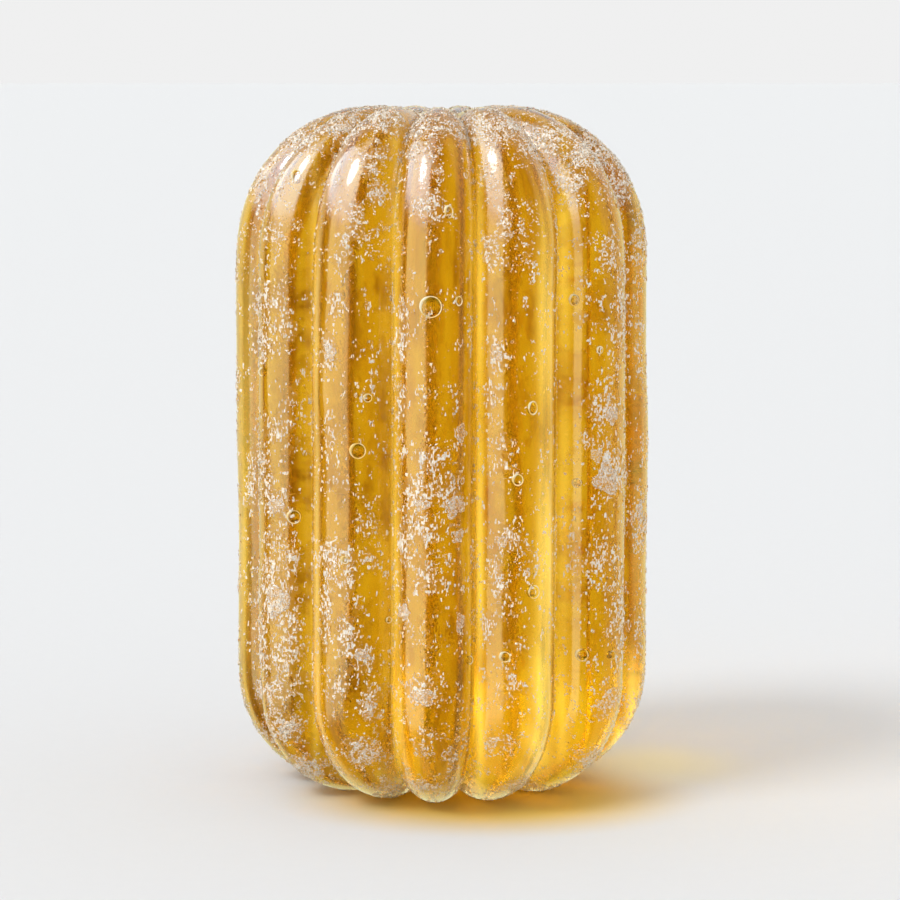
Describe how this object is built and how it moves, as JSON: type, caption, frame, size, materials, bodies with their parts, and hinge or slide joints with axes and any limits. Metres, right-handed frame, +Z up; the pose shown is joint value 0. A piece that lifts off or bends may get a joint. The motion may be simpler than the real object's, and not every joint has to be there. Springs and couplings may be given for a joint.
{
  "type": "honey hard candy",
  "caption": "Amber boiled sugar candy: a barrel with upright rounded ribs that roll over both ends, frosted in patches with fused sugar.",
  "frame": {"origin": "middle of the bounding box in plan, on the flats worn on the lower rib ends", "axes": "+Z up along the barrel, -Y towards the side seen in the picture"},
  "size_m": [0.016, 0.016, 0.0263],
  "materials": {
    "amber_sugar": "clear amber boiled sugar with patches of fused white sugar frost"
  },
  "bodies": {
    "root": {"candy": "amber_sugar"}
  },
  "joints": []
}
